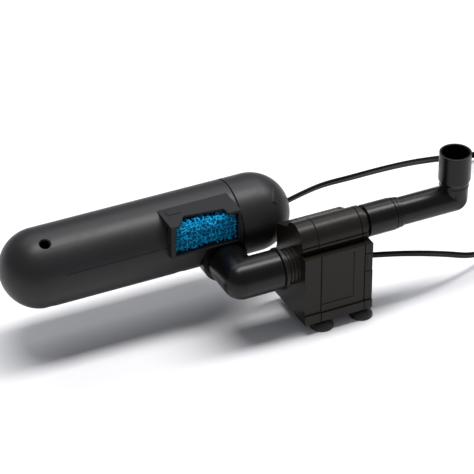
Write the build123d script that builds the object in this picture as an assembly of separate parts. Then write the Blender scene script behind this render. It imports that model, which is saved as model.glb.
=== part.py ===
from build123d import *
import math
import os

# Submersible pond and aquarium filter: a torpedo-shaped lamp housing with a sponge
# intake feeds a magnet-drive pump through an elbow. The pump stands on four suction cups.
# Millimetres. X runs along the lamp housing and the pump shaft, with the outlet at +X.
# Y points to the back. Z is up. The origin is on the plane of the suction cup rims,
# straight below the pump shaft and midway between the cups along X.

# Lamp housing (torpedo)
torpedo_r = 40.0
torpedo_wall = 2.5
torpedo_y = 77.5
torpedo_drop = 19.5  # height of the torpedo axis above the pump shaft
torpedo_length = 227.3  # between the centres of the two rounded ends
torpedo_reach = 46.8  # from the elbow to the centre of the rounded end cap
cap_skirt = 25.8  # straight part of the end cap
nose_r = 17.0
nose_bore_r = 8.5
seam_gap = 0.8
seam_depth = 0.7
spigot_length = 6.5
port_r = 5.0
port_chamfer = 2.0
port_angles = (23.0, 143.0, 263.0)  # from straight up, towards the front
port_from_end = 1.0
drain_reach = 42.0  # from the elbow to the single port beside it
parting_angle = 74.0
parting_length = (12.0, 123.0)
cap_grips = 3
grip_width = 6.0
grip_length = 16.0
grip_height = 0.8

# Sponge intake on the upper front of the torpedo
box_length = 75.0
box_from_seam = 6.0
box_below_top = 1.5  # below the top of the torpedo
box_above_elbow = 1.25
box_proud = 5.6  # in front of the torpedo
box_back = 10.0
box_wall = 2.4
post_left = 5.0
post_right = 2.6
notch_points = ((8.3, 0.0), (20.0, 14.5), (60.0, 9.6), (61.5, 0.0))  # from the front left corner
rim_bottom = 1.4
sponge_gap = 0.4
sponge_depth = 27.0

# Lamp
sleeve_r = 11.5
sleeve_wall = 1.2
sleeve_past_seam = 18.0
sleeve_short = 31.3  # by how much the sleeve is shorter than the torpedo
lamp_base_length = 20.0
lamp_base_inset = 14.0
lamp_short = 31.0  # by how much the lamp is shorter than its sleeve
lamp_tube_r = 4.4
lamp_tube_pitch = 10.2
lamp_pin_pitch = 7.0

# Elbow between the torpedo and the pump
elbow_x = -103.0
elbow_r = 20.25
elbow_wall = 2.5
elbow_end = -65.0
saddle_proud = 3.6
saddle_front = 36.0
joint_gap = 1.6

# Pump
shaft_z = 69.5
shaft_r = 1.5
pump_left = -45.4
cover_seam = -27.5
end_seam = 20.5
pump_right = 29.7
pump_half = 24.4
pump_back = 42.0
upper_back = 38.5
back_step = (60.0, 70.0)  # heights between which the back steps in
roof_low = 95.5
roof_high = (12.0, 107.0)
waist_half = 14.3
pump_shoulder = 88.0
pump_floor = 21.5
pump_wall = 2.0
foot_z = 11.5
foot_proud = 1.6
barrel_rise = 29.5  # height of the outlet axis above the pump shaft
barrel_r = 17.3
barrel_bore = 10.0
lip_drop = 4.2  # of the lip under the barrel, below the outlet axis
lip_height = 2.0
lip_proud = 1.3
neck_r = 14.0  # of the barrel's right end, behind the outlet union
neck_length = 3.0
well_r = 12.5
well_wall = 1.5
well_length = 44.0
bush_r = 3.0
bush_length = 4.0
gland_r = 4.5
gland_length = 5.0
magnet_r = 11.2
magnet_length = 32.0
impeller_r = 15.0
impeller_length = 9.0
impeller_blades = 6
volute_r = 18.5
running = 0.06  # radial running clearance
fit = 0.15  # radial clearance of parts that are pushed together
cup_pitch = 44.0
cup_rows = (-16.6, 34.4)
cup_r = 12.0
cup_neck_r = 3.6

# Outlet
riser_x = 133.0
pipe_r = 14.4
pipe_wall = 2.4
socket_r = 12.6
union_right = 62.0
union_r = 16.6
collar_length = 4.0
riser_top = 129.0
cup_outer_r = 16.3
cup_bore_r = 14.2
outlet_top = 152.0
outlet_bottom = 118.0
cup_taper = 1.4
cup_taper_height = 4.0

# Flat twin mains cords
cord_r = 2.6  # a round section of the same area as the flat twin cord
coil_r = 40.5
coil_build = 15.0
coil_height = 15.0
plug_length = 32.0
plug_width = 24.0
plug_height = 14.0
blade_pitch = 12.7

torpedo_z = shaft_z + torpedo_drop
torpedo_right = elbow_x + torpedo_reach
torpedo_left = torpedo_right - torpedo_length
seam_x = torpedo_right - cap_skirt
nose_x = torpedo_right + math.sqrt(torpedo_r**2 - nose_r**2)
inner_r = torpedo_r - torpedo_wall
outlet_z = shaft_z + barrel_rise
box_right = seam_x - box_from_seam
box_left = box_right - box_length
box_front = torpedo_y - torpedo_r - box_proud
box_top = torpedo_z + torpedo_r - box_below_top
box_bottom = shaft_z + elbow_r + box_above_elbow
sleeve_length = torpedo_length - sleeve_short
sleeve_left = seam_x + sleeve_past_seam - sleeve_length
lamp_length = sleeve_length - lamp_short
lamp_base_left = sleeve_left + sleeve_length - lamp_base_inset
holder_left = seam_x - spigot_length + 1.0
well_end = cover_seam + well_length

lamp_route = [
    (nose_x, torpedo_y, torpedo_z),
    (2.4, 82.2, 90.8),
    (31.4, 89.9, 90.0),
    (65.0, 96.8, 84.5),
    (109.8, 114.6, 72.0),
    (158.0, 136.6, 55.0),
    (205.1, 158.6, 35.0),
    (245.4, 177.9, 16.0),
    (276.0, 187.0, 5.5),
    (302.0, 187.65, 3.75),
]
lamp_coil_centre = (302.0, 143.0)
pump_route = [
    (pump_right, -10.0, 64.5),
    (55.2, -14.0, 61.5),
    (88.9, -14.5, 52.5),
    (125.3, -6.5, 36.0),
    (156.0, 2.0, 19.5),
    (184.0, 14.0, 8.5),
    (207.0, 26.5, 4.3),
    (228.0, 30.65, 3.75),
]
pump_coil_centre = (228.0, -14.0)


def rod_x(radius, x0, x1, y=0.0, z=0.0):
    return Pos((x0 + x1) / 2, y, z) * Rot(0, 90, 0) * Cylinder(radius, x1 - x0)


def rod_y(radius, y0, y1, x=0.0, z=0.0):
    return Pos(x, (y0 + y1) / 2, z) * Rot(90, 0, 0) * Cylinder(radius, y1 - y0)


def rod_z(radius, z0, z1, x=0.0, y=0.0):
    return Pos(x, y, (z0 + z1) / 2) * Cylinder(radius, z1 - z0)


def ring_x(outer, inner, x0, x1, y=0.0, z=0.0):
    return rod_x(outer, x0, x1, y, z) - rod_x(inner, x0 - 1, x1 + 1, y, z)


def block(x0, x1, y0, y1, z0, z1):
    centre = Pos((x0 + x1) / 2, (y0 + y1) / 2, (z0 + z1) / 2)
    return centre * Box(x1 - x0, y1 - y0, z1 - z0)


def o_ring_x(radius, section, x, y, z):
    return Pos(x, y, z) * Rot(0, 90, 0) * Torus(radius, section)


def save(name, shape):
    shape.label = name
    export_step(shape, f"parts/{name}.step")


# Torpedo


def capsule(radius, x0, x1):
    """A rod about the torpedo axis with a round end at x0 and a flat end at x1."""
    ball = Pos(x0, torpedo_y, torpedo_z) * Sphere(radius)
    return ball + rod_x(radius, x0, x1, torpedo_y, torpedo_z)


def port_cut(x, angle):
    """A round chamfered hole through the torpedo wall."""
    bore = Pos(0, 0, torpedo_r) * Cylinder(port_r, 4 * torpedo_wall)
    rim = Pos(0, 0, torpedo_r - port_chamfer / 2 + 0.6)
    funnel = rim * Cone(port_r, port_r + port_chamfer, port_chamfer)
    return Pos(x, torpedo_y, torpedo_z) * Rot(angle, 0, 0) * (bore + funnel)


def box_space():
    return block(box_left, box_right, box_front, torpedo_y - box_back, box_bottom, box_top)


def sponge_space(grow):
    """The straight passage that holds the sponge, open to the front."""
    return block(
        box_left + box_wall - grow,
        box_right - box_wall + grow,
        box_front - 1,
        box_front + box_wall + sponge_depth + grow,
        box_bottom + box_wall - grow,
        box_top - box_wall - 1.2 + grow,
    )


def parting_line():
    """A fine groove along the front of the body where its mould halves met."""
    x0, x1 = (torpedo_left + at for at in parting_length)
    groove = Pos((x0 + x1) / 2, 0, torpedo_r) * Box(x1 - x0, 0.8, 1.0)
    return Pos(0, torpedo_y, torpedo_z) * Rot(parting_angle, 0, 0) * groove


def make_torpedo_body():
    body = capsule(torpedo_r, torpedo_left, seam_x) - capsule(inner_r, torpedo_left, seam_x + 1)
    for angle in port_angles:
        body -= port_cut(torpedo_left + port_from_end, angle)
    body -= port_cut(elbow_x - drain_reach, port_angles[1])
    body -= parting_line()
    body -= sponge_space(0.0)
    body -= rod_y(elbow_r + fit, -60, torpedo_y, elbow_x, shaft_z)
    return body


def make_end_cap():
    dome = Pos(torpedo_right, torpedo_y, torpedo_z) * Sphere(torpedo_r)
    cap = dome + rod_x(torpedo_r, seam_x, torpedo_right, torpedo_y, torpedo_z)
    cap &= rod_x(torpedo_r + 1, seam_x, nose_x, torpedo_y, torpedo_z)
    for turn in range(cap_grips):
        cap += grip_rib(turn * 360 / cap_grips)
    hollow = Pos(torpedo_right, torpedo_y, torpedo_z) * Sphere(inner_r)
    hollow += rod_x(inner_r, seam_x - 1, torpedo_right, torpedo_y, torpedo_z)
    hollow &= rod_x(torpedo_r, seam_x - 1, nose_x - torpedo_wall, torpedo_y, torpedo_z)
    cap -= hollow
    groove = ring_x(
        torpedo_r + 1, torpedo_r - seam_depth, seam_x, seam_x + seam_gap, torpedo_y, torpedo_z
    )
    cap -= groove
    cap += cap_spigot()
    return cap - rod_x(nose_bore_r, nose_x - 10, nose_x + 5, torpedo_y, torpedo_z)


def cap_spigot():
    outer = inner_r - fit
    x0 = seam_x - spigot_length
    collar = ring_x(outer, outer - 2.2, x0, seam_x + 4, torpedo_y, torpedo_z)
    lip = ring_x(inner_r + 0.5, outer - 2.2, seam_x, seam_x + 4, torpedo_y, torpedo_z)
    seat = ring_x(outer + 1, outer - 1.2, x0 + 1.6, x0 + 4.4, torpedo_y, torpedo_z)
    return collar + lip - seat


def grip_rib(angle):
    """A short slanted rib on the shoulder of the cap, for turning it by hand."""
    rib = Pos(17.0, 0, 0) * Rot(0, 30.0, 0) * Box(grip_width, grip_length, 9.0)
    across = Pos(0, 0, torpedo_r - 7.0) * Rot(0, 0, -26.0) * rib
    limit = Sphere(torpedo_r + grip_height)
    return Pos(torpedo_right, torpedo_y, torpedo_z) * Rot(27.0 + angle, 0, 0) * (across & limit)


def make_cap_seal():
    x = seam_x - spigot_length + 3.0
    return o_ring_x(inner_r - fit - 0.65, 0.5, x, torpedo_y, torpedo_z)


def make_lamp_holder():
    """The plug inside the mouth of the cap that carries the sleeve and the lamp."""
    rim_r = inner_r - fit - 2.2 - 0.25
    x0 = holder_left
    disc = rod_x(rim_r, x0, x0 + 4, torpedo_y, torpedo_z)
    hub = rod_x(sleeve_r + 5, x0, x0 + 16, torpedo_y, torpedo_z)
    for turn in range(6):
        window = Pos(x0 + 2, 0, 25) * Rot(0, 90, 0) * Cylinder(4.5, 8)
        disc -= Pos(0, torpedo_y, torpedo_z) * Rot(turn * 60 + 30, 0, 0) * window
    bore = rod_x(sleeve_r + fit, x0 - 1, x0 + 20, torpedo_y, torpedo_z)
    seat = rod_x(sleeve_r + 2.6, x0 + 10, x0 + 20, torpedo_y, torpedo_z)
    return disc + hub - bore - seat


def make_sleeve_seal():
    x = holder_left + 12.0
    return o_ring_x(sleeve_r + 1.35, 1.2, x, torpedo_y, torpedo_z)


def make_sleeve_nut():
    x0 = holder_left + 14.2
    nut = ring_x(sleeve_r + 4.8, sleeve_r + fit + 0.2, x0 + 2.0, x0 + 9, torpedo_y, torpedo_z)
    nose = ring_x(sleeve_r + 2.4, sleeve_r + fit + 0.2, x0 - 0.8, x0 + 3, torpedo_y, torpedo_z)
    return nut + nose


def make_quartz_sleeve():
    x0 = sleeve_left + sleeve_r
    x1 = sleeve_left + sleeve_length
    return capsule(sleeve_r, x0, x1) - capsule(sleeve_r - sleeve_wall, x0, x1 + 1)


def make_sleeve_support():
    """A soft star that centres the blind end of the sleeve in the torpedo."""
    x0 = sleeve_left + 24.0
    ring = ring_x(sleeve_r + 3.0, sleeve_r + 0.2, x0, x0 + 6, torpedo_y, torpedo_z)
    for turn in range(3):
        arm = Pos(x0 + 3, 0, (sleeve_r + 2 + inner_r - 0.5) / 2)
        arm *= Box(6, 4, inner_r - 0.5 - sleeve_r - 2)
        ring += Pos(0, torpedo_y, torpedo_z) * Rot(turn * 120 + 60, 0, 0) * arm
    return ring


def make_uv_lamp():
    """Twin glass tubes joined by a short bridge at the blind end."""
    x1 = lamp_base_left
    x0 = x1 - lamp_length
    lamp = None
    for side in (-1, 1):
        y = torpedo_y + side * lamp_tube_pitch / 2
        tube = rod_x(lamp_tube_r, x0, x1, y, torpedo_z)
        lamp = tube if lamp is None else lamp + tube
    bridge = rod_y(
        2.0,
        torpedo_y - lamp_tube_pitch / 2,
        torpedo_y + lamp_tube_pitch / 2,
        x0 + 6,
        torpedo_z,
    )
    return lamp + bridge


def make_lamp_base():
    x1 = lamp_base_left + lamp_base_length
    base = rod_x(sleeve_r - sleeve_wall - 0.4, lamp_base_left, x1, torpedo_y, torpedo_z)
    for side in (-1, 1):
        y = torpedo_y + side * lamp_pin_pitch / 2
        base += rod_x(1.2, x1, x1 + 6, y, torpedo_z)
    return base


def make_lamp_socket():
    x0 = lamp_base_left + lamp_base_length + 0.2
    socket = rod_x(10.5, x0, x0 + 10, torpedo_y, torpedo_z)
    for side in (-1, 1):
        y = torpedo_y + side * lamp_pin_pitch / 2
        socket -= rod_x(1.35, x0 - 1, x0 + 6.5, y, torpedo_z)
    return socket


def make_lamp_gland():
    """A soft bush in the nose of the cap that the lamp cord comes out of."""
    x0 = nose_x - torpedo_wall - 3.0
    body = rod_x(nose_bore_r - running, x0, nose_x, torpedo_y, torpedo_z)
    flange = rod_x(nose_bore_r + 2.5, x0, x0 + 2.6, torpedo_y, torpedo_z)
    return body + flange


# Sponge intake


def make_sponge_frame():
    frame = box_space() - rod_x(torpedo_r + 0.3, box_left - 1, box_right + 1, torpedo_y, torpedo_z)
    inside = block(
        box_left + box_wall,
        box_right - box_wall,
        box_front + box_wall,
        torpedo_y,
        box_bottom + box_wall,
        box_top - box_wall,
    )
    window = block(
        box_left + post_left,
        box_right - post_right,
        box_front - 1,
        box_front + box_wall + 1,
        box_bottom + rim_bottom,
        box_top - box_wall - 0.6,
    )
    frame = frame - inside - window - top_notch() - side_slot()
    return frame + latch_step()


def top_notch():
    """The part of the window that runs on over the front edge into the top."""
    y0 = box_front
    corners = [(box_left + x, y0 + depth) for x, depth in notch_points]
    corners += [(corners[-1][0], y0 - 1), (corners[0][0], y0 - 1)]
    floor = box_top - box_wall - 2
    outline = Pos(0, 0, floor) * make_face(Polyline(*corners, close=True))
    return extrude(outline, box_wall + 3)


def side_slot():
    """A three-cornered finger slot in the left side of the frame."""
    offsets = ((7.0, 5.5), (17.0, 4.5), (9.0, 16.5))
    corners = [(box_front + back, box_top - down) for back, down in offsets]
    face = Plane(origin=(0, 0, 0), x_dir=(0, 1, 0), z_dir=(1, 0, 0))
    outline = face * make_face(Polyline(*corners, close=True))
    return Pos(box_left - 1, 0, 0) * extrude(outline, box_wall + 2, dir=(1, 0, 0))


def latch_step():
    """A low raised tab on the top, over the catch that holds the frame."""
    top = box_top
    return block(
        box_left + 6.0,
        box_left + 20.0,
        torpedo_y - box_back - 15.0,
        torpedo_y - box_back - 6.0,
        top - 0.5,
        top + 0.7,
    )


def make_sponge():
    foam = block(
        box_left + box_wall + sponge_gap,
        box_right - box_wall - sponge_gap,
        box_front + box_wall * 0.6,
        box_front + box_wall + sponge_depth - sponge_gap,
        box_bottom + box_wall + 0.1,
        box_top - box_wall - 1.6,
    )
    left = box_left + post_left
    foam -= block(left - 30, left + 0.4, 0, box_front + box_wall + 0.3, 0, 200)
    right = box_right - post_right
    return foam - block(right - 0.4, right + 30, 0, box_front + box_wall + 0.3, 0, 200)


def make_sponge_grille():
    """A slotted plate inside the torpedo that the sponge is pushed against."""
    y0 = box_front + box_wall + sponge_depth + 0.3
    x0, x1 = box_left + box_wall, box_right - box_wall
    z0 = box_bottom + box_wall
    plate = block(x0, x1, y0, y0 + 2, z0, z0 + 26.0)
    slots = 9
    pitch = (x1 - x0) / slots
    for i in range(slots):
        x = x0 + (i + 0.5) * pitch
        plate -= block(x - 2.2, x + 2.2, y0 - 1, y0 + 3, z0 + 3, z0 + 23)
    return plate


# Suction elbow


def elbow_solid(radius, end):
    leg = rod_y(radius, 0, torpedo_y, elbow_x, shaft_z)
    run = rod_x(radius, elbow_x, end, 0, shaft_z)
    return leg + run + Pos(elbow_x, 0, shaft_z) * Sphere(radius)


def make_suction_elbow():
    elbow = elbow_solid(elbow_r, elbow_end)
    saddle = rod_y(elbow_r + saddle_proud, saddle_front, torpedo_y, elbow_x, shaft_z)
    saddle -= rod_x(torpedo_r + 0.02, torpedo_left, seam_x, torpedo_y, torpedo_z)
    saddle -= rod_x(torpedo_r + 0.4, seam_x - 0.3, nose_x, torpedo_y, torpedo_z)
    elbow += saddle - block(-400, 400, 0, 200, box_bottom - 0.3, 200)
    elbow -= elbow_solid(elbow_r - elbow_wall, elbow_end + 1)
    elbow -= rod_x(inner_r, torpedo_left, seam_x, torpedo_y, torpedo_z)
    return elbow


def make_elbow_seal():
    return o_ring_x(elbow_r - elbow_wall - 1.1, 0.95, elbow_end - 6.0, 0, shaft_z)


# Pump


def pump_profile(x0, x1):
    """The outer section of the pump, from x0 to x1."""
    corners = [
        (-pump_half, pump_floor),
        (-pump_half, pump_shoulder),
        (-waist_half, pump_shoulder),
        (-waist_half, outlet_z),
        roof_high,
        (upper_back, roof_low),
        (upper_back, back_step[1]),
        (pump_back, back_step[0]),
        (pump_back, pump_floor),
    ]
    face = Plane(origin=(0, 0, 0), x_dir=(0, 1, 0), z_dir=(1, 0, 0))
    outline = face * make_face(Polyline(*corners, close=True))
    body = Pos(x0, 0, 0) * extrude(outline, x1 - x0, dir=(1, 0, 0))
    low = outlet_z - lip_drop
    lip_half = barrel_r + lip_proud
    duct = rod_x(barrel_r, x0, x1, 0, outlet_z)
    duct &= block(x0, x1, -barrel_r, barrel_r, low, outlet_z + barrel_r)
    return body + duct + block(x0, x1, -lip_half, 0, low, low + lip_height)


def make_inlet_cover():
    cover = pump_profile(pump_left, cover_seam)
    foot_front = -pump_half - foot_proud
    foot_back = pump_back + foot_proud
    cover += block(pump_left, cover_seam - 0.6, foot_front, foot_back, foot_z, pump_floor + 0.5)
    cover -= block(
        pump_left + 2, cover_seam - 2.6, foot_front + 2, foot_back - 2, foot_z - 1, pump_floor - 2
    )
    collar_end = elbow_end + joint_gap
    cover += rod_x(elbow_r - 1.6, collar_end, pump_left + 1, 0, shaft_z)
    cover += rod_x(elbow_r + 1.4, collar_end, collar_end + 2.6, 0, shaft_z)
    cover += rod_x(elbow_r - elbow_wall - fit, elbow_end - 9.0, collar_end, 0, shaft_z)
    for x in (collar_end + 5.4, collar_end + 9.0, collar_end + 12.6):
        cover -= ring_x(elbow_r, elbow_r - 2.8, x, x + 1.4, 0, shaft_z)
    cover -= ring_x(elbow_r, elbow_r - elbow_wall - 2.2, elbow_end - 7.2, elbow_end - 4.8, 0, shaft_z)
    cover -= rod_x(13.0, elbow_end - 10, pump_left + 5, 0, shaft_z)
    cover -= rod_x(volute_r, pump_left + 5, cover_seam + 1, 0, shaft_z)
    cover -= block(pump_left + 5, cover_seam + 1, 0, barrel_bore, shaft_z, outlet_z)
    cover -= rod_x(barrel_bore, pump_left + 5, cover_seam + 1, 0, outlet_z)
    cover -= seal_ring(0.1)
    return cover + shaft_spider()


def shaft_spider():
    """Three arms across the inlet that hold the front end of the shaft."""
    x0 = pump_left + 0.5
    hub = rod_x(4.2, x0, x0 + 6, 0, shaft_z) - rod_x(bush_r + 0.05, x0 + 1.5, x0 + 7, 0, shaft_z)
    for turn in range(3):
        arm = Pos(x0 + 1.5, 0, 9.0) * Box(3, 1.8, 11)
        hub += Pos(0, 0, shaft_z) * Rot(turn * 120, 0, 0) * arm
    return hub


def make_pump_housing():
    body = pump_profile(cover_seam, end_seam)
    body -= block(
        cover_seam + 3, end_seam + 1, -pump_half + pump_wall, pump_half - pump_wall,
        pump_floor + pump_wall, outlet_z - barrel_bore - pump_wall - 0.2,
    )
    body -= block(
        cover_seam + 3, end_seam + 1, 0, upper_back - pump_wall,
        pump_floor + pump_wall, outlet_z - barrel_bore - pump_wall - 0.2,
    )
    body -= rod_x(barrel_bore, cover_seam - 1, end_seam + 1, 0, outlet_z)
    body += rod_x(well_r + well_wall, cover_seam + 1, well_end, 0, shaft_z)
    body -= rod_x(well_r, cover_seam - 1, well_end - 3.5, 0, shaft_z)
    body -= rod_x(bush_r + 0.05, well_end - 10, well_end - 1.5, 0, shaft_z)
    recess = block(cover_seam + 1.5, 9.0, -pump_half - 1, -pump_half + 0.6, 30.5, 84.0)
    body -= recess
    line = block(cover_seam + 0.0, cover_seam + 0.7, -pump_half - 1, -pump_half + 0.7, pump_floor, 90)
    return body - line


def make_end_cover():
    cover = pump_profile(end_seam + 0.6, pump_right)
    plug_low = block(
        end_seam - 3, end_seam + 1, -pump_half + pump_wall + 0.2, pump_half - pump_wall - 0.2,
        pump_floor + pump_wall + 0.2, outlet_z - barrel_bore - pump_wall - 0.4,
    )
    cover += plug_low
    cover += ring_x(barrel_bore + 1.3, barrel_bore, end_seam, end_seam + 1, 0, outlet_z)
    cover -= rod_x(socket_r, end_seam + 1.5, pump_right + 1, 0, outlet_z)
    cover -= rod_x(barrel_bore, end_seam - 1, pump_right, 0, outlet_z)
    cover -= clamp_space(0.0)
    neck = ring_x(barrel_r + 3, neck_r, pump_right - neck_length, pump_right + 1, 0, outlet_z)
    cover -= neck - block(0, pump_right + 2, -50, 50, 0, outlet_z - lip_drop)
    cover -= block(pump_right - 5.0, pump_right + 1, barrel_r - 1, pump_back, back_step[0], 120)
    for y, z in end_screws():
        cover -= rod_x(1.8, end_seam - 4, pump_right + 1, y, z)
        cover -= rod_x(3.3, pump_right - 2.6, pump_right + 1, y, z)
    return cover


def clamp_space(clear):
    return block(
        end_seam + 2.5 + clear, pump_right - clear, -pump_half - 1, 4.0 - clear,
        55.9 + clear, 77.4 - clear,
    )


def make_cord_clamp():
    """The block in the end cover that grips the pump cord."""
    clamp = clamp_space(0.4) & block(0, pump_right, -pump_half, 10, 0, 200)
    _, y, z = pump_route[0]
    return clamp - rod_x(gland_r + 0.1, pump_right - gland_length, pump_right + 1, y, z)


def make_pump_gland():
    _, y, z = pump_route[0]
    return rod_x(gland_r, pump_right - gland_length, pump_right, y, z)


def end_screws():
    return [(-20.0, 26.5), (20.0, 26.5), (-20.5, 83.5), (20.5, 83.5)]


def make_end_screws():
    group = None
    for y, z in end_screws():
        screw = rod_x(3.0, pump_right - 2.4, pump_right - 0.4, y, z)
        screw += rod_x(1.5, end_seam - 2.5, pump_right - 1, y, z)
        screw -= block(pump_right - 1.4, pump_right + 1, y - 2.2, y + 2.2, z - 0.5, z + 0.5)
        group = screw if group is None else group + screw
    return group


def seal_ring(grow=0.0):
    """The flat ring around the volute, between the inlet cover and the housing."""
    x0 = cover_seam - 1.0 - grow
    ring = ring_x(volute_r + 3.2 + grow, volute_r + 0.9 - grow, x0, cover_seam + grow, 0, shaft_z)
    gap = block(x0 - 1, cover_seam + 1, -1 + grow, barrel_bore + 1 - grow, shaft_z, outlet_z)
    return ring - gap


def make_cover_seal():
    return seal_ring() - block(cover_seam - 0.02, cover_seam + 2, -50, 50, 0, 200)


def make_shaft():
    return rod_x(shaft_r, pump_left + 3.0, well_end - 2.0, 0, shaft_z)


def make_front_bush():
    x0 = pump_left + 2.2
    return ring_x(bush_r, shaft_r + 0.02, x0, x0 + bush_length, 0, shaft_z)


def make_rear_bush():
    x1 = well_end - 1.6
    return ring_x(bush_r, shaft_r + 0.02, x1 - bush_length, x1, 0, shaft_z)


def make_rotor_magnet():
    x0 = cover_seam + 3.0
    return ring_x(magnet_r, shaft_r + 1.2, x0, x0 + magnet_length, 0, shaft_z)


def make_rotor_core():
    """The moulded tube through the magnet that runs on the shaft."""
    x0 = cover_seam - 2.2
    core = rod_x(shaft_r + 1.1, x0, cover_seam + 3.0 + magnet_length, 0, shaft_z)
    core += rod_x(6.0, x0, cover_seam + 2.8, 0, shaft_z)
    return core - rod_x(shaft_r + running, x0 - 1, x0 + 60, 0, shaft_z)


def make_impeller():
    x1 = cover_seam - 2.4
    x0 = x1 - impeller_length
    wheel = rod_x(impeller_r, x1 - 1.5, x1, 0, shaft_z)
    wheel += rod_x(5.0, x0, x1, 0, shaft_z)
    for i in range(impeller_blades):
        blade = Pos((x0 + x1) / 2, 0, (4.0 + impeller_r) / 2)
        blade *= Box(impeller_length, 1.6, impeller_r - 4.0)
        wheel += Pos(0, 0, shaft_z) * Rot(i * 360 / impeller_blades, 0, 0) * blade
    return wheel - rod_x(shaft_r + running, x0 - 1, x1 + 1, 0, shaft_z)


def make_stator_core():
    """Laminated U-shaped core with a pole on each side of the rotor well."""
    x0, x1 = -16.0, 8.0
    reach = pump_half - pump_wall - 0.6
    core = block(x0, x1, -reach, reach, 27.0, 82.0)
    core -= block(x0 - 1, x1 + 1, -10.5, 10.5, 35.0, 84.0)
    return core - rod_x(well_r + well_wall + 0.3, x0 - 1, x1 + 1, 0, shaft_z)


def make_stator_coils():
    coils = None
    reach = pump_half - pump_wall - 0.6
    for side in (-1, 1):
        inner, outer = sorted((side * 1.2, side * 10.2))
        winding = block(-19.0, 11.0, inner, outer, 37.0, 53.0)
        winding = chamfer(winding.edges().filter_by(Axis.Z), 1.5)
        coils = winding if coils is None else coils + winding
    return coils


def make_base_plate():
    front = -pump_half - foot_proud
    back = pump_back + foot_proud
    plate = block(cover_seam, pump_right, front, back, foot_z, pump_floor - 0.05)
    plate -= block(
        cover_seam + 0.8, pump_right - 2, front + 2, back - 2, foot_z + 3.2, pump_floor + 1
    )
    for x, y in cup_places():
        plate -= rod_z(cup_neck_r + 0.2, foot_z - 1, foot_z + 5, x, y)
    return plate


def cup_places():
    return [(x, y) for y in cup_rows for x in (-cup_pitch / 2, cup_pitch / 2)]


def make_suction_cup(x, y):
    """A soft cup with a domed back, a hollow underside and a button that snaps into the base."""
    shoulder = foot_z - 2.6
    back = ThreePointArc((cup_r, 0.9), (cup_r * 0.82, shoulder * 0.62), (5.2, shoulder))
    outline = [
        Line((cup_r - 1.0, 0), (cup_r, 0)),
        Line((cup_r, 0), (cup_r, 0.9)),
        back,
        Line((5.2, shoulder), (5.2, foot_z - 0.2)),
        Line((5.2, foot_z - 0.2), (0, foot_z - 0.2)),
        Line((0, foot_z - 0.2), (0, 4.2)),
        ThreePointArc((0, 4.2), (cup_r * 0.55, 3.0), (cup_r - 1.0, 0)),
    ]
    face = Plane.XZ * make_face(Curve() + outline)
    bell = revolve(face, Axis.Z)
    neck = rod_z(cup_neck_r, foot_z - 1, foot_z + 3.6)
    button = rod_z(cup_neck_r + 0.8, foot_z + 3.4, foot_z + 6.0)
    return Pos(x, y, 0) * (bell + neck + button)


# Outlet


def make_outlet_union():
    """The sleeve between the pump and the outlet pipe, which turns in the pump's socket."""
    union = rod_x(union_r, pump_right + joint_gap, union_right, 0, outlet_z)
    union += rod_x(union_r - 0.5, union_right, union_right + collar_length, 0, outlet_z)
    x0 = union_right + collar_length
    union += rod_x(union_r - 1.1, x0, x0 + collar_length, 0, outlet_z)
    for x in (union_right, x0):
        union -= ring_x(union_r + 1, union_r - 1.5, x - 0.6, x + 0.2, 0, outlet_z)
    union += rod_x(socket_r - running, end_seam + 2.2, pump_right + 3, 0, outlet_z)
    union -= rod_x(barrel_bore, end_seam, union_right, 0, outlet_z)
    union -= ring_x(socket_r + 1, socket_r - 1.6, end_seam + 4.4, end_seam + 6.8, 0, outlet_z)
    return union - rod_x(pipe_r + fit / 2, pump_right + 8, 100, 0, outlet_z)


def make_outlet_seal():
    return o_ring_x(socket_r - 0.95, 0.62, end_seam + 5.6, 0, outlet_z)


def riser_bend(radius, x0, top):
    """A run and a riser that meet in a ball corner."""
    run = rod_x(radius, x0, riser_x, 0, outlet_z)
    riser = rod_z(radius, outlet_z, top, riser_x, 0)
    return run + riser + Pos(riser_x, 0, outlet_z) * Sphere(radius)


def make_outlet_elbow():
    elbow = riser_bend(pipe_r, pump_right + 8.2, riser_top)
    elbow -= riser_bend(pipe_r - pipe_wall, pump_right, riser_top + 5)
    ring_z = outlet_bottom - 4.0
    band = rod_z(pipe_r + 0.5, ring_z - 1.2, ring_z + 1.2, riser_x, 0)
    return elbow + (band - rod_z(pipe_r - 0.5, ring_z - 2, ring_z + 2, riser_x, 0))


def make_outlet_cup():
    start = outlet_bottom + cup_taper_height
    cup = rod_z(cup_outer_r, start, outlet_top, riser_x, 0)
    taper = Cone(cup_outer_r - cup_taper, cup_outer_r, cup_taper_height)
    cup += Pos(riser_x, 0, start - cup_taper_height / 2) * taper
    cup -= rod_z(pipe_r + running, outlet_bottom - 1, riser_top + 0.2, riser_x, 0)
    return cup - rod_z(cup_bore_r, riser_top - 1, outlet_top + 1, riser_x, 0)


# Cords


def fillet_radii(points):
    """One radius for each corner: 0.45 of the shorter run over the tangent of half the turn."""
    places = [Vector(*p) for p in points]
    radii = []
    for a, b, c in zip(places, places[1:], places[2:]):
        before, after = b - a, c - b
        turn = math.radians(before.get_angle(after))
        radii.append(0.45 * min(before.length, after.length) / math.tan(turn / 2))
    return radii


def make_cord(name, points):
    radii = fillet_radii(points)
    path = FilletPolyline(*points, radius=radii)
    section = Plane(origin=path @ 0, z_dir=path % 0) * Circle(cord_r)
    tube = sweep(section, path=path)
    expected = math.pi * cord_r**2 * path.length
    print(name, "radii", [round(r) for r in radii], "length", round(path.length, 1))
    print(name, "volume over section times length", round(tube.volume / expected, 4))
    return tube


def make_coil(centre):
    x, y = centre
    outer = coil_r + coil_build / 2
    return rod_z(outer, 0, coil_height, x, y) - rod_z(outer - coil_build, -1, 30, x, y)


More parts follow.
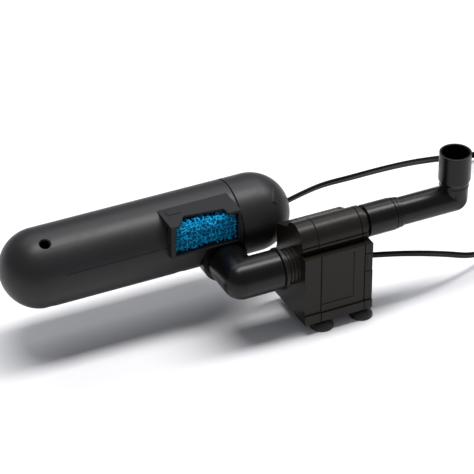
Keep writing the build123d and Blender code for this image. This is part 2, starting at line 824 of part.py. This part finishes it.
def make_tie(centre):
    """A twist tie around the near side of a coil."""
    x, y = centre
    outer = coil_r + coil_build / 2
    width = 5.0
    wrap = block(
        x + outer - coil_build - 1.4, x + outer + 1.4, y - width / 2, y + width / 2,
        0.0, coil_height + 1.4,
    )
    return wrap - block(
        x + outer - coil_build - 0.3, x + outer + 0.4, y - 9, y + 9, -1, coil_height + 0.2
    )


def turned(shape, centre, facing):
    """Puts a plug's piece at the centre of its coil, with the cord's end at +X or -X."""
    return Pos(*centre, 0) * Rot(0, 0, 0 if facing > 0 else 180) * shape


def make_plug(centre, facing):
    """A moulded two-blade plug that lies inside its coil."""
    half = plug_width / 2
    body = block(-plug_length / 2, plug_length / 2 - 8, -half, half, 0, plug_height)
    body = chamfer(body.edges().filter_by(Axis.X), 2.5)
    tail = Pos(plug_length / 2 - 4, 0, plug_height / 2) * Rot(0, 90, 0)
    return turned(body + tail * Cone(5.0, 3.6, 8.2), centre, facing)


def make_plug_blades(centre, facing):
    left = -plug_length / 2
    blades = None
    for side in (-1, 1):
        middle = side * blade_pitch / 2
        blade = block(left - 12.0, left, middle - 0.75, middle + 0.75, 3.8, 10.2)
        blades = blade if blades is None else blades + blade
    return turned(blades, centre, facing)


def build():
    os.makedirs("parts", exist_ok=True)
    save("torpedo_body", make_torpedo_body())
    save("end_cap", make_end_cap())
    save("cap_seal", make_cap_seal())
    save("lamp_holder", make_lamp_holder())
    save("sleeve_seal", make_sleeve_seal())
    save("sleeve_nut", make_sleeve_nut())
    save("quartz_sleeve", make_quartz_sleeve())
    save("sleeve_support", make_sleeve_support())
    save("uv_lamp", make_uv_lamp())
    save("lamp_base", make_lamp_base())
    save("lamp_socket", make_lamp_socket())
    save("lamp_gland", make_lamp_gland())
    save("sponge_frame", make_sponge_frame())
    save("sponge", make_sponge())
    save("sponge_grille", make_sponge_grille())
    save("suction_elbow", make_suction_elbow())
    save("elbow_seal", make_elbow_seal())
    save("inlet_cover", make_inlet_cover())
    save("cover_seal", make_cover_seal())
    save("pump_housing", make_pump_housing())
    save("end_cover", make_end_cover())
    save("end_screws", make_end_screws())
    save("cord_clamp", make_cord_clamp())
    save("pump_gland", make_pump_gland())
    save("pump_shaft", make_shaft())
    save("front_bush", make_front_bush())
    save("rear_bush", make_rear_bush())
    save("rotor_magnet", make_rotor_magnet())
    save("rotor_core", make_rotor_core())
    save("impeller", make_impeller())
    save("stator_core", make_stator_core())
    save("stator_coils", make_stator_coils())
    save("base_plate", make_base_plate())
    for number, (x, y) in enumerate(cup_places(), 1):
        save(f"suction_cup_{number}", make_suction_cup(x, y))
    save("outlet_union", make_outlet_union())
    save("outlet_seal", make_outlet_seal())
    save("outlet_elbow", make_outlet_elbow())
    save("outlet_cup", make_outlet_cup())
    save("lamp_cord", make_cord("lamp_cord", lamp_route))
    save("pump_cord", make_cord("pump_cord", pump_route))
    for name, centre, facing in (("lamp", lamp_coil_centre, -1), ("pump", pump_coil_centre, 1)):
        save(f"{name}_cord_coil", make_coil(centre))
        save(f"{name}_cord_tie", make_tie(centre))
        save(f"{name}_plug", make_plug(centre, facing))
        save(f"{name}_plug_blades", make_plug_blades(centre, facing))


build()
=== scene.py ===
"""Submersible power filter: a lamp housing with a sponge intake, an elbow and a pump."""

import math
import random

import bmesh
import bpy
import numpy as np
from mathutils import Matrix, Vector, noise


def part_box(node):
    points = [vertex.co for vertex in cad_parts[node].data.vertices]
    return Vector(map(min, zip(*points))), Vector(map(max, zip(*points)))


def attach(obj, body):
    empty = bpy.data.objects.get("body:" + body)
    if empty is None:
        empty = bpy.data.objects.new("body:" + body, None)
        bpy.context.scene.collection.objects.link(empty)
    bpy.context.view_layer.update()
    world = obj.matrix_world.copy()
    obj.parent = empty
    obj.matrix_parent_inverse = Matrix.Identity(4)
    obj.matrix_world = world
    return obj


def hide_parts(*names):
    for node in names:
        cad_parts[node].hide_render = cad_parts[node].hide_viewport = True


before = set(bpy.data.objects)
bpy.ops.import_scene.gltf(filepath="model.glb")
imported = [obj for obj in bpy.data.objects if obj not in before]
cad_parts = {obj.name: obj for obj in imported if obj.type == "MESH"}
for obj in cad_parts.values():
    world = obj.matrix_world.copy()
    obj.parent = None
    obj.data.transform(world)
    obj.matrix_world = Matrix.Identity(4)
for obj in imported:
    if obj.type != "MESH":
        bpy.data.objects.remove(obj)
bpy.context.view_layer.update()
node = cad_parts


# ---------------------------------------------------------------- Camera
# The filter is seen from above its front left, from 2.6 metres away through
# a long lens, so its parallel edges stay nearly parallel.

looked_at = Vector((-0.0883, 0.0405, 0.0903))
camera_turn = math.radians(-25.709)
camera_rise = math.radians(33.722)
camera_away = 2.6274
towards_camera = Vector(
    (
        math.sin(camera_turn) * math.cos(camera_rise),
        -math.cos(camera_turn) * math.cos(camera_rise),
        math.sin(camera_rise),
    )
)
camera = bpy.data.objects.new("camera", bpy.data.cameras.new("camera"))
camera.data.lens = 202.3
camera.data.sensor_width = 36.0
camera.data.clip_end = 50.0
camera.location = looked_at + towards_camera * camera_away
camera.rotation_mode = "QUATERNION"
camera.rotation_quaternion = (-towards_camera).to_track_quat("-Z", "Y")
bpy.context.scene.collection.objects.link(camera)
bpy.context.scene.camera = camera


# ---------------------------------------------------------------- Mains cords
# Two flat twin cords with a soft black PVC sheath, 7.3 by 3.7 mm, moulded
# round two cores with a shallow valley between them. Each leaves its gland,
# comes down to the floor and ends in a moulded plug inside its own coil.


class Wire:
    """The output of a shader node, with the arithmetic that the finishes use."""

    def __init__(self, socket):
        self.socket = socket

    def join(self, operation, first, second):
        made = self.socket.id_data.nodes.new("ShaderNodeMath")
        made.operation = operation
        for slot, value in zip(made.inputs, (first, second)):
            feed(slot, value)
        return Wire(made.outputs[0])

    def __add__(self, other):
        return self.join("ADD", self, other)

    def __sub__(self, other):
        return self.join("SUBTRACT", self, other)

    def __mul__(self, other):
        return self.join("MULTIPLY", self, other)

    __radd__ = __add__
    __rmul__ = __mul__


def feed(slot, value):
    """Links a wire to a shader input, or sets the input to a number or a colour."""
    if isinstance(value, Wire):
        slot.id_data.links.new(value.socket, slot)
    elif isinstance(value, tuple) and len(value) == 3 and slot.type == "RGBA":
        slot.default_value = (*value, 1.0)
    else:
        slot.default_value = value


class Finish:
    """One material while its nodes are put together."""

    def __init__(self, name):
        self.material = bpy.data.materials.new(name)
        self.material.use_nodes = True
        self.tree = self.material.node_tree
        self.tree.nodes.clear()

    def node(self, kind, settings, sockets, output=0):
        """Adds a node: its settings come first, then its inputs, by name or by number."""
        made = self.tree.nodes.new("ShaderNode" + kind)
        for key, value in settings.items():
            setattr(made, key, value)
        for key, value in sockets.items():
            feed(made.inputs[key], value)
        return Wire(made.outputs[output])

    def place(self):
        """Where a point of the piece is, in metres."""
        return self.node("TexCoord", {}, {}, "Object")

    def speckle(self, place, per_metre, detail=2.0, roughness=0.5):
        """Soft noise from 0 to 1."""
        wanted = {"Vector": place, "Scale": per_metre, "Detail": detail, "Roughness": roughness}
        return self.node("TexNoise", {}, wanted, "Fac")

    def between(self, amount, first, second):
        """A colour between two others."""
        return self.node("Mix", {"data_type": "RGBA"}, {0: amount, 6: first, 7: second}, 2)

    def spread(self, value, low, high, to_low=0.0, to_high=1.0):
        """Stretches the part of a wire between low and high to another range."""
        return self.node("MapRange", {}, {0: value, 1: low, 2: high, 3: to_low, 4: to_high})

    def gap(self, place, axis, at, width, least):
        """Painted shade mask: one in a flat gap across an axis, right of the least X, and nothing
        beside it.
        """
        along = self.node("SeparateXYZ", {}, {"Vector": place}, axis)
        off = self.node("Math", {"operation": "ABSOLUTE"}, {0: along - at})
        inside = self.spread(off, width * 0.4, width * 0.7, 1.0, 0.0)
        across = self.node("SeparateXYZ", {}, {"Vector": place}, "X")
        return inside * self.spread(across, least, least + 0.0001)

    def surface(self, sockets):
        """The finished material, from the inputs of its one shader."""
        shader = self.node("BsdfPrincipled", {}, sockets)
        output = self.tree.nodes.new("ShaderNodeOutputMaterial")
        feed(output.inputs["Surface"], shader)
        return self.material


cord_thickness = 0.0037
core_apart = 0.0018
core_arc = 118.0
arc_steps = 8
gland_tilt = 68.0
turn_steps = 16
step_up = 4.0
coil_cells = [
    (0.04465, 0.00375),
    (0.04465, 0.01125),
    (0.0405, 0.01125),
    (0.0405, 0.00375),
    (0.03635, 0.00375),
    (0.03635, 0.01125),
    (0.0350, 0.01125),
]


def coil_points(centre, turns):
    """Clockwise turns from the far side, two high and three wide, that end inside."""
    points = []
    for i in range(1, int(turns * turn_steps) + 1):
        turn, part = divmod(i, turn_steps)
        before = coil_cells[max(turn - 1, 0)]
        after = coil_cells[turn]
        moved = min(part / step_up, 1.0)
        radius = before[0] + (after[0] - before[0]) * moved
        height = before[1] + (after[1] - before[1]) * moved
        radius /= (3.0 + math.cos(2.0 * math.pi / turn_steps)) / 4.0
        angle = math.pi / 2.0 - 2.0 * math.pi * i / turn_steps
        x = centre[0] + radius * math.cos(angle)
        y = centre[1] + radius * math.sin(angle)
        points.append((x, y, height))
    return points


def smooth_line(name, points):
    """Points along a quadratic NURBS curve that has the given control points."""
    curve = bpy.data.curves.new(name, "CURVE")
    curve.dimensions = "3D"
    curve.resolution_u = 8
    spline = curve.splines.new("NURBS")
    spline.points.add(len(points) - 1)
    for place, point in zip(points, spline.points):
        point.co = (*place, 1.0)
    spline.order_u = 3
    spline.use_endpoint_u = True
    line = bpy.data.objects.new(name, curve)
    drawn = bpy.data.meshes.new_from_object(line)
    found = [v.co.copy() for v in drawn.vertices]
    bpy.data.objects.remove(line)
    bpy.data.meshes.remove(drawn)
    return found


def twin_section():
    """The outline of a flat twin cord, as offsets across its width and its thickness."""
    outline = []
    for side in (1, -1):
        for i in range(arc_steps + 1):
            angle = math.radians(-core_arc + 2.0 * core_arc * i / arc_steps)
            across = side * (core_apart + cord_thickness / 2.0 * math.cos(angle))
            outline.append((across, side * cord_thickness / 2.0 * math.sin(angle)))
    return outline


def flat_cord(name, line, free_points, material):
    """A mesh tube of the twin section, on edge, and a little tilted where it leaves its gland."""
    shape = bmesh.new()
    outline = twin_section()
    rings = []
    for i, place in enumerate(line):
        along = (line[min(i + 1, len(line) - 1)] - line[max(i - 1, 0)]).normalized()
        side = along.cross(Vector((0, 0, 1))).normalized()
        upright = side.cross(along)
        turned = min(i / free_points, 1.0)
        eased = turned * turned * (3.0 - 2.0 * turned)
        twist = math.radians(gland_tilt + (90.0 - gland_tilt) * eased)
        wide = side * math.cos(twist) + upright * math.sin(twist)
        thin = upright * math.cos(twist) - side * math.sin(twist)
        rings.append([shape.verts.new(place + wide * a + thin * b) for a, b in outline])
    count = len(outline)
    for first, second in zip(rings, rings[1:]):
        for j in range(count):
            corner = (first[j], second[j], second[(j + 1) % count], first[(j + 1) % count])
            shape.faces.new(corner).smooth = True
    shape.faces.new(rings[0])
    shape.faces.new(rings[-1])
    bmesh.ops.recalc_face_normals(shape, faces=shape.faces[:])
    mesh = bpy.data.meshes.new(name)
    shape.to_mesh(mesh)
    shape.free()
    made = bpy.data.objects.new(name, mesh)
    bpy.context.scene.collection.objects.link(made)
    mesh.materials.append(material)
    return made


def moulded(name, dark, light, gloss, grain, shine=0.3, joins=()):
    """A moulded finish: grain is its fineness per metre and its height in metres.
    Joins are the gaps between mouldings, where shade is painted in near black: axis, place, width
    and least X."""
    paint = Finish(name)
    place = paint.place()
    fine = paint.speckle(place, grain[0], 3.0)
    cloud = paint.speckle(place, 24.0, 4.0, 0.6)
    smear = paint.spread(paint.speckle(place, 85.0, 5.0, 0.7), 0.52, 0.72)
    scuff = paint.spread(paint.speckle(place, 1500.0, 2.0), 0.69, 0.76)
    tone = paint.between(0.7 * cloud + 0.3 * fine, dark, light)
    worn = tuple(min(1.0, value * 1.5 + 0.004) for value in light)
    height = fine + 0.35 * smear
    bump = paint.node("Bump", {}, {"Strength": 0.5, "Distance": grain[1], "Height": height})
    colour = paint.between(0.3 * scuff, tone, worn)
    rough = gloss[0] + (gloss[1] - gloss[0]) * cloud + 0.07 * smear
    # Painted shade: the gap of each join is coloured near black, as the shadow in it, and made
    # rougher.
    for axis, at, width, least in joins:
        gap = paint.gap(place, axis, at, width, least)
        colour = paint.between(gap, colour, (0.0006, 0.0006, 0.0006))
        rough = rough + 0.5 * gap
    return paint.surface(
        {
            "Base Color": colour,
            "Roughness": rough,
            "Specular IOR Level": shine,
            "Normal": bump,
        }
    )


cord_finish = moulded(
    "cord_pvc",
    (0.001, 0.001, 0.0011),
    (0.0022, 0.0022, 0.0024),
    (0.28, 0.38),
    (2600.0, 0.00003),
    0.08,
)

lamp_route = [
    (-0.0200, 0.0775, 0.0890),
    (0.0024, 0.0822, 0.0908),
    (0.0314, 0.0899, 0.0900),
    (0.0650, 0.0968, 0.0845),
    (0.1098, 0.1146, 0.0720),
    (0.1580, 0.1366, 0.0550),
    (0.2051, 0.1586, 0.0350),
    (0.2454, 0.1779, 0.0160),
    (0.2760, 0.1870, 0.0055),
    (0.3020, 0.18765, 0.00375),
]
lamp_coil = (0.302, 0.143)
pump_route = [
    (0.0297, -0.0100, 0.0645),
    (0.0552, -0.0140, 0.0615),
    (0.0889, -0.0145, 0.0525),
    (0.1253, -0.0065, 0.0360),
    (0.1560, 0.0020, 0.0195),
    (0.1840, 0.0140, 0.0085),
    (0.2070, 0.0265, 0.0043),
    (0.2280, 0.03065, 0.00375),
]
pump_coil = (0.228, -0.014)
tail_steps = [
    (0.0266, 0.0222, 0.0110),
    (0.0284, 0.0133, 0.0100),
    (0.0249, 0.0048, 0.0085),
    (0.0174, 0.0, 0.0072),
    (0.0155, 0.0, 0.0070),
]


def tail_points(centre, facing):
    """From the last turn in to the plug that lies inside the coil."""
    return [(centre[0] + facing * x, centre[1] + facing * y, z) for x, y, z in tail_steps]


cord_runs = {
    "lamp": (lamp_route, lamp_coil, 5.625, -1),
    "pump": (pump_route, pump_coil, 6.125, 1),
}
for which, (route, centre, turns, facing) in cord_runs.items():
    turned_in = coil_points(centre, turns) + tail_points(centre, facing)
    line = smooth_line(which, route + turned_in)
    loose = min(range(len(line)), key=lambda i: (line[i] - Vector(route[-1])).length)
    cord = flat_cord(f"{which}_flat_cord", line, loose, cord_finish)
    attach(cord, "root")
    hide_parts(f"{which}_cord", f"{which}_cord_coil")
    print(which, "cord", round(sum((b - a).length for a, b in zip(line, line[1:])), 4))


# ---------------------------------------------------------------- Plugs and ties
# A two-pin plug of soft PVC is moulded on the end of each cord, with folded
# brass blades. A nylon tie holds each coil together.


def dress(names, material, edge=0.0):
    """Gives design pieces their finish and, where asked, the small radius of a moulded edge."""
    for name in names.split():
        piece = node[name]
        for place in piece.material_slots:
            place.material = material
        if edge:
            weld = piece.modifiers.new("weld", "WELD")
            weld.merge_threshold = 0.000001
            rounded = piece.modifiers.new("edge", "BEVEL")
            rounded.width = edge
            rounded.segments = 2
            rounded.limit_method = "ANGLE"
            rounded.angle_limit = math.radians(35.0)
            piece.modifiers.new("shading", "WEIGHTED_NORMAL")


plug_finish = moulded(
    "plug_pvc", (0.006, 0.006, 0.006), (0.012, 0.012, 0.012), (0.4, 0.5), (1800.0, 0.00003)
)
dress("lamp_plug pump_plug", plug_finish, 0.0008)
tie_finish = moulded(
    "tie_nylon", (0.01, 0.01, 0.01), (0.02, 0.02, 0.02), (0.3, 0.4), (1500.0, 0.00002), 0.5
)
dress("lamp_cord_tie pump_cord_tie", tie_finish, 0.0002)


def metal(name, dark, light, gloss, stretch, fineness=900.0):
    """Drawn, ground or stamped metal: its grain runs along the axis that stretch makes small."""
    paint = Finish(name)
    run = paint.node("Mapping", {}, {"Vector": paint.place(), "Scale": stretch})
    grain = paint.speckle(run, fineness, 4.0, 0.6)
    stain = paint.speckle(paint.place(), 120.0, 3.0)
    bump = paint.node("Bump", {}, {"Strength": 0.4, "Distance": 0.00001, "Height": grain})
    return paint.surface(
        {
            "Base Color": paint.between(0.6 * grain + 0.4 * stain, dark, light),
            "Metallic": 1.0,
            "Roughness": gloss[0] + (gloss[1] - gloss[0]) * grain,
            "Normal": bump,
        }
    )


brass = metal("brass", (0.62, 0.43, 0.16), (0.82, 0.62, 0.28), (0.22, 0.42), (0.08, 1.0, 1.0))
dress("lamp_plug_blades pump_plug_blades", brass, 0.0001)

# ---------------------------------------------------------------- Lamp and sleeve
# A folded ultraviolet tube stands in a white base and a socket. It sits in a
# quartz sleeve, which a seal and a nut hold in the lamp holder. A star near
# the blind end of the sleeve keeps it in the middle of the torpedo.


def clear(name, tint, gloss, haze):
    """Clear quartz or lamp glass with a faint bloom of lime on it."""
    paint = Finish(name)
    bloom = paint.speckle(paint.place(), 60.0, 4.0, 0.6)
    paler = tuple(min(1.0, value + 0.05) for value in tint)
    return paint.surface(
        {
            "Base Color": paint.between(bloom, tint, paler),
            "Roughness": gloss + haze * bloom,
            "Transmission Weight": 1.0,
            "IOR": 1.46,
        }
    )


dress("quartz_sleeve", clear("quartz", (0.93, 0.96, 0.97), 0.02, 0.08))
dress("uv_lamp", clear("lamp_glass", (0.9, 0.94, 0.96), 0.03, 0.1))
white_finish = moulded(
    "lamp_base_white", (0.7, 0.7, 0.67), (0.8, 0.8, 0.77), (0.35, 0.45), (900.0, 0.00002), 0.5
)
dress("lamp_base", white_finish, 0.0003)
inner_finish = moulded(
    "inner_plastic", (0.012, 0.012, 0.012), (0.024, 0.024, 0.024), (0.4, 0.52), (1300.0, 0.00004)
)
dress("lamp_holder lamp_socket sleeve_nut sleeve_support", inner_finish, 0.0003)
seal_finish = moulded(
    "seal_rubber", (0.01, 0.01, 0.01), (0.02, 0.02, 0.02), (0.5, 0.65), (2200.0, 0.00003), 0.4
)
dress("sleeve_seal cap_seal", seal_finish)

# ---------------------------------------------------------------- Lamp housing
# The torpedo is moulded in black ABS in two pieces: a long body with a round
# end, and a cap with grip ribs that turns and locks on the body's mouth.
# The lamp's cord passes through a rubber gland in the flat nose of the cap.

housing_finish = moulded(
    "housing_plastic",
    (0.009, 0.0088, 0.0092),
    (0.016, 0.0155, 0.0162),
    (0.36, 0.46),
    (1500.0, 0.00005),
    0.32,
    # Painted shade: the seam between the body and the cap is coloured near black.
    [("X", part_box("torpedo_body")[1].x + 0.0004, 0.0016, -1.0)],
)
dress("torpedo_body end_cap", housing_finish, 0.0004)
dress("lamp_gland", seal_finish, 0.0002)

# ---------------------------------------------------------------- Sponge intake
# A black ABS frame slides over the opening in the front of the torpedo. Water
# goes in through the blue filter foam that the frame holds, and on through
# the slots of a grille behind the foam.

frame_finish = moulded(
    "frame_plastic",
    (0.008, 0.008, 0.009),
    (0.014, 0.014, 0.015),
    (0.42, 0.52),
    (1300.0, 0.00006),
    0.22,
)
dress("sponge_frame", frame_finish, 0.0006)
dress("sponge_grille", inner_finish, 0.0003)

foam_cell = 0.0052
foam_skin = 0.0062
foam_strut = 0.00032
foam_joint = 0.00062
foam_jitter = 0.24
foam_open = 0.017
foam_gap = 0.0006
foam_rough = 0.0004
foam_grain = 900.0
foam_missing = 0.1
core_cuts = 24
foam_seed = 7
foam_low, foam_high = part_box("sponge")


def in_foam(place):
    """How far a point is inside the foam, and less than nothing outside it."""
    return min(min(place[i] - foam_low[i], foam_high[i] - place[i]) for i in range(3))


def foam_nodes(chance):
    """The jittered joints of the foam's cells, by their place in quarters of a cell, and
    the struts between them. Each cell is a truncated octahedron, and ring has its corners."""
    corners = {}
    struts = set()
    ring = []
    for a, b in ((1, 2), (1, -2), (-1, 2), (-1, -2)):
        for order in ((0, a, b), (0, b, a), (a, 0, b), (b, 0, a), (a, b, 0), (b, a, 0)):
            ring.append(order)
    counts = [int((foam_high[i] - foam_low[i]) / foam_cell) + 2 for i in range(3)]
    for cell in np.ndindex(counts[0] * 2, counts[1] * 2, counts[2] * 2):
        if len({index % 2 for index in cell}) != 1:
            continue
        centre = tuple(2 * index for index in cell)
        keys = [tuple(centre[i] + point[i] for i in range(3)) for point in ring]
        for first in keys:
            for second in keys:
                if first < second and sum((p - q) ** 2 for p, q in zip(first, second)) == 2:
                    struts.add((first, second))
    for key in sorted({key for strut in struts for key in strut}):
        place = Vector([foam_low[i] + key[i] * foam_cell / 4.0 for i in range(3)])
        shift = Vector([chance.uniform(-1.0, 1.0) for _ in range(3)])
        corners[key] = place + shift * foam_jitter * foam_cell
    return corners, sorted(struts)


def in_skin(place):
    """Whether a point is near the front or the top of the foam."""
    front = place.y - foam_low.y < foam_skin
    top = foam_high.z - place.z < foam_skin and place.y - foam_low.y < foam_open
    return front or top


def add_strut(shape, first, second):
    """A three-sided strut that is thinnest half way along."""
    along = (second - first).normalized()
    side = along.orthogonal().normalized()
    other = along.cross(side)
    rings = []
    for part, radius in ((0.0, foam_joint), (0.5, foam_strut), (1.0, foam_joint)):
        middle = first.lerp(second, part)
        ring = []
        for i in range(3):
            angle = 2.0 * math.pi * i / 3.0
            outward = side * math.cos(angle) + other * math.sin(angle)
            ring.append(shape.verts.new(middle + outward * radius))
        rings.append(ring)
    for near, far in zip(rings, rings[1:]):
        for i in range(3):
            j = (i + 1) % 3
            shape.faces.new((near[i], near[j], far[j], far[i])).smooth = True


def foam_core(shape):
    """The foam behind the skins, where its cells can't be told apart any more."""
    behind = foam_skin - 2.0 * foam_gap
    low = Vector(foam_low) + Vector((foam_gap, behind, foam_gap))
    high = Vector(foam_high) - Vector((foam_gap, foam_gap, behind))
    made = bmesh.ops.create_cube(shape, size=1.0)
    for corner in made["verts"]:
        corner.co = Vector([low[i] if corner.co[i] < 0.0 else high[i] for i in range(3)])
    bmesh.ops.subdivide_edges(shape, edges=shape.edges[:], cuts=core_cuts, use_grid_fill=True)
    for corner in shape.verts:
        if in_foam(corner.co) > foam_rough:
            corner.co += noise.noise_vector(corner.co * foam_grain) * foam_rough


def make_foam():
    """The foam with its rough core. Unless it is seeded, Blender's noise follows the clock."""
    chance = random.Random(foam_seed)
    noise.seed_set(foam_seed)
    shape = bmesh.new()
    foam_core(shape)
    corners, struts = foam_nodes(chance)
    for first, second in struts:
        ends = (corners[first], corners[second])
        shown = all(in_foam(end) > foam_joint for end in ends) and any(in_skin(end) for end in ends)
        if shown and chance.random() > foam_missing:
            add_strut(shape, *ends)
    mesh = bpy.data.meshes.new("filter_foam")
    shape.to_mesh(mesh)
    shape.free()
    return bpy.data.objects.new("filter_foam", mesh)


foam = make_foam()
bpy.context.scene.collection.objects.link(foam)
paint = Finish("blue_foam")
place = paint.place()
deep = paint.node("SeparateXYZ", {}, {"Vector": place}, "Y")
top = paint.node("SeparateXYZ", {}, {"Vector": place}, "Z")
# Painted light and shade: the foam is bright blue near its front and top skins and dark blue behind
# them, as shade deep in the foam.
front_light = paint.spread(deep, foam_low.y, foam_low.y + foam_skin, 1.0, 0.0)
top_light = paint.spread(top, foam_high.z - foam_skin, foam_high.z, 0.0, 1.0)
painted_light = paint.node("Math", {"operation": "MAXIMUM"}, {0: front_light, 1: top_light})
patch = paint.speckle(place, 190.0, 3.0)
foam_blue = paint.between(patch, (0.0, 0.42, 0.98), (0.02, 0.72, 1.0))
foam.data.materials.append(
    paint.surface(
        {
            "Base Color": paint.between(painted_light, (0.0, 0.04, 0.13), foam_blue),
            "Roughness": 0.34 + 0.2 * patch,
            "Specular IOR Level": 0.15,
            "Normal": paint.node(
                "Bump",
                {},
                {"Strength": 0.4, "Distance": 0.0001, "Height": paint.speckle(place, 2500.0)},
            ),
        }
    )
)
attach(foam, "intake")
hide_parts("sponge")

# ---------------------------------------------------------------- Suction elbow
# A black ABS elbow with a ball corner joins the torpedo to the pump. A saddle
# on its end is cemented to the torpedo, and a ring seals it in the pump.

pipe_finish = moulded(
    "pipe_plastic",
    (0.001, 0.0009, 0.0009),
    (0.0028, 0.0025, 0.0024),
    (0.25, 0.33),
    (900.0, 0.00004),
    0.28,
)
dress("suction_elbow", pipe_finish, 0.0004)
dress("elbow_seal cover_seal outlet_seal", seal_finish)

# ---------------------------------------------------------------- Pump works
# The magnet rotor and its impeller turn on a ceramic shaft in rubber bushes.
# The stator, a laminated core with two windings, is cast in behind their well.

ceramic = moulded(
    "ceramic", (0.72, 0.71, 0.68), (0.84, 0.83, 0.8), (0.12, 0.2), (1200.0, 0.00001), 0.6
)
dress("pump_shaft", ceramic, 0.0002)
dress("front_bush rear_bush", seal_finish, 0.0002)
ferrite = moulded(
    "ferrite", (0.02, 0.02, 0.021), (0.05, 0.05, 0.052), (0.5, 0.65), (3000.0, 0.00003), 0.6
)
dress("rotor_magnet", ferrite, 0.0003)
dress("rotor_core impeller", inner_finish, 0.0003)
dress(
    "stator_core",
    metal("lamination_steel", (0.22, 0.22, 0.23), (0.42, 0.42, 0.44), (0.3, 0.5), (3.0, 0.1, 0.1)),
    0.0002,
)
dress(
    "stator_coils",
    metal("copper", (0.42, 0.14, 0.05), (0.75, 0.32, 0.14), (0.25, 0.4), (0.1, 2.0, 2.0), 700.0),
)

# ---------------------------------------------------------------- Pump housing
# Five black ABS mouldings: the housing, the cover over the impeller, the end
# cover with the cord clamp, and the base plate. Steel screws hold them.

pump_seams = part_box("pump_housing")
clamp_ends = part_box("cord_clamp")
pump_finish = moulded(
    "pump_plastic",
    (0.0078, 0.0062, 0.0042),
    (0.0135, 0.011, 0.0078),
    (0.29, 0.4),
    (1600.0, 0.00005),
    0.2,
    [
        # Painted shade: the seams of the covers and the edges of the cord clamp are coloured near
        # black.
        ("X", pump_seams[0].x, 0.0011, -1.0),
        ("X", pump_seams[1].x + 0.0003, 0.0011, -1.0),
        ("Z", clamp_ends[0].z - 0.0002, 0.0010, pump_seams[1].x),
        ("Z", clamp_ends[1].z + 0.0002, 0.0010, pump_seams[1].x),
    ],
)
dress("pump_housing inlet_cover end_cover cord_clamp", pump_finish, 0.0009)
dress("base_plate", pump_finish, 0.0018)
dress("pump_gland", seal_finish, 0.0002)
steel = metal("steel", (0.42, 0.42, 0.43), (0.62, 0.62, 0.63), (0.25, 0.42), (1.0, 1.0, 0.2))
dress("end_screws", steel, 0.0001)

# ---------------------------------------------------------------- Suction cups
# Four soft black rubber cups are held in the base plate by the buttons on
# their backs. Their thin rims hold the pump to a smooth floor or a wall.

cup_finish = moulded(
    "cup_rubber",
    (0.009, 0.0085, 0.008),
    (0.017, 0.016, 0.015),
    (0.36, 0.48),
    (1400.0, 0.00003),
    0.4,
)
dress("suction_cup_1 suction_cup_2 suction_cup_3 suction_cup_4", cup_finish)

# ---------------------------------------------------------------- Outlet
# A union and the glossy black pipe in it swivel together on the pump's outlet
# barrel. An open cup with a tapered root turns on the end of the pipe.

dress("outlet_union outlet_elbow outlet_cup", pipe_finish, 0.0004)

# ---------------------------------------------------------------- Floor and light
# A pale seamless floor, a long strip lamp overhead, a weaker one behind it,
# and a weak even fill.

span = 6.0
floor_mesh = bpy.data.meshes.new("floor")
corners = [(-span, -span, 0.0), (span, -span, 0.0), (span, span, 0.0), (-span, span, 0.0)]
floor_mesh.from_pydata(corners, [], [(0, 1, 2, 3)])
floor = bpy.data.objects.new("floor", floor_mesh)
floor.location.z = -0.0004
bpy.context.scene.collection.objects.link(floor)
paper = Finish("floor_paper")
tone = paper.speckle(paper.place(), 4.0)
floor_mesh.materials.append(
    paper.surface(
        {
            "Base Color": paper.between(tone, (0.76, 0.76, 0.765), (0.78, 0.78, 0.785)),
            "Roughness": 0.9,
            "Specular IOR Level": 0.1,
        }
    )
)


def soft_lamp(name, place, tilt, width, height, power, tint):
    """A rectangular lamp that faces down, tipped about its long side, which lies along X."""
    light = bpy.data.lights.new(name, "AREA")
    light.shape = "RECTANGLE"
    light.size = width
    light.size_y = height
    light.energy = power
    light.color = tint
    made = bpy.data.objects.new(name, light)
    made.location = place
    made.rotation_euler = (math.radians(tilt), 0.0, 0.0)
    bpy.context.scene.collection.objects.link(made)


soft_lamp("overhead", (0.5, 0.1, 1.9), 0.0, 2.6, 0.46, 56.0, (1.0, 0.99, 1.0))
soft_lamp("rear", (0.3, 1.1, 1.6), -32.0, 2.6, 0.7, 13.0, (0.97, 0.98, 1.0))

world = bpy.data.worlds.new("studio")
bpy.context.scene.world = world
world.use_nodes = True
world.node_tree.nodes["Background"].inputs["Color"].default_value = (0.9, 0.92, 1.0, 1.0)
world.node_tree.nodes["Background"].inputs["Strength"].default_value = 0.3
bpy.context.scene.view_settings.view_transform = "Standard"
